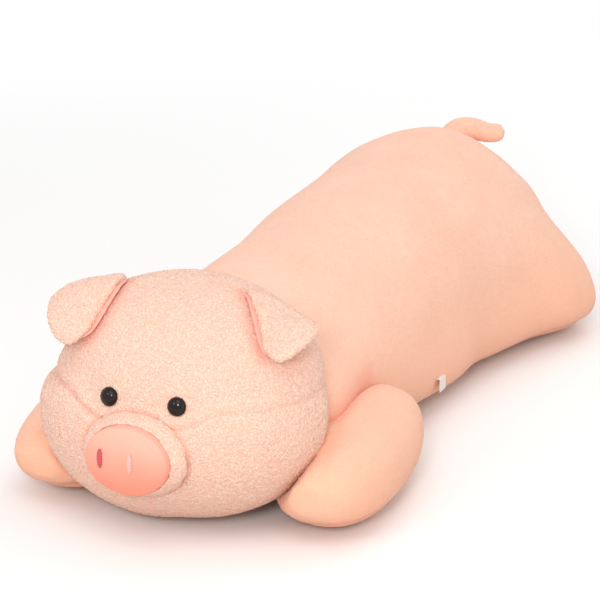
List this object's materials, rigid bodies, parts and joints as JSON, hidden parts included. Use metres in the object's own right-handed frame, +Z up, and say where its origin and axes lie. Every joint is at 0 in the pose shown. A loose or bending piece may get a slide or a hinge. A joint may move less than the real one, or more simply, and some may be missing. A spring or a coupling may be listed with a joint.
{
  "type": "plush pig pillow",
  "caption": "Long plush pig lying on its belly, with a round head, domed snout, folded ears, paddle arms and a short tail, sewn as a cuddle pillow.",
  "frame": {"origin": "on the floor, under the middle of the toy's outer box", "axes": "+Z up, the snout towards -Y, the tail towards +Y, the pig's left side towards +X"},
  "size_m": [0.3244, 0.7632, 0.1909],
  "materials": {
    "short_plush": "soft peach short-pile plush",
    "curly_plush": "curly peach sherpa plush",
    "satin_pink": "smooth pink short-nap cloth",
    "nostril_thread": "rose embroidery thread",
    "eye_plastic": "glossy near-black brown",
    "washer_plastic": "plain white",
    "fibre_fill": "loose white polyester fibre",
    "label_tape": "blank woven white tape"
  },
  "bodies": {
    "torso": {"torso_left_panel": "short_plush", "torso_right_panel": "short_plush", "torso_belly_panel": "short_plush", "torso_stuffing": "fibre_fill", "care_label": "label_tape"},
    "head": {"eye_left": "eye_plastic", "eye_washer_left": "washer_plastic", "eye_right": "eye_plastic", "eye_washer_right": "washer_plastic", "head_crown_panel": "curly_plush", "head_cheek_panel": "curly_plush", "head_stuffing": "fibre_fill", "muzzle_ring": "curly_plush", "snout_disc": "satin_pink", "nostril_left": "nostril_thread", "nostril_right": "nostril_thread"},
    "ear_left": {"ear_left_outer": "curly_plush", "ear_left_lining": "satin_pink"},
    "ear_right": {"ear_right_outer": "curly_plush", "ear_right_lining": "satin_pink"},
    "arm_left": {"arm_left_top_panel": "short_plush", "arm_left_sole_panel": "short_plush", "arm_left_stuffing": "fibre_fill"},
    "arm_right": {"arm_right_top_panel": "short_plush", "arm_right_sole_panel": "short_plush", "arm_right_stuffing": "fibre_fill"},
    "tail": {"tail": "short_plush"}
  },
  "joints": [
    {"name": "head_nod", "type": "hinge", "parent": "torso", "child": "head", "pos_m": [0, -0.19005, 0.085], "axis": [-1, 0, 0], "range_deg": [0, 12], "stiffness_Nm_per_rad": 3},
    {"name": "arm_left_lift", "type": "hinge", "parent": "torso", "child": "arm_left", "pos_m": [0.092, -0.19005, 0.084], "axis": [0, -1, 0], "range_deg": [0, 18], "stiffness_Nm_per_rad": 0.6},
    {"name": "arm_right_lift", "type": "hinge", "parent": "torso", "child": "arm_right", "pos_m": [-0.092, -0.19005, 0.084], "axis": [0, 1, 0], "range_deg": [0, 18], "stiffness_Nm_per_rad": 0.6},
    {"name": "ear_left_lift", "type": "hinge", "parent": "head", "child": "ear_left", "pos_m": [0.04972, -0.26717, 0.1863], "axis": [-0.8575, -0.1427, 0.4943], "range_deg": [0, 20], "stiffness_Nm_per_rad": 0.06},
    {"name": "ear_right_lift", "type": "hinge", "parent": "head", "child": "ear_right", "pos_m": [-0.04972, -0.27281, 0.1863], "axis": [-0.8887, -0.0411, -0.4566], "range_deg": [0, 20], "stiffness_Nm_per_rad": 0.06},
    {"name": "tail_wag", "type": "hinge", "parent": "torso", "child": "tail", "pos_m": [0, 0.33195, 0.165], "axis": [0, 0, 1], "range_deg": [-25, 25], "stiffness_Nm_per_rad": 0.03}
  ]
}
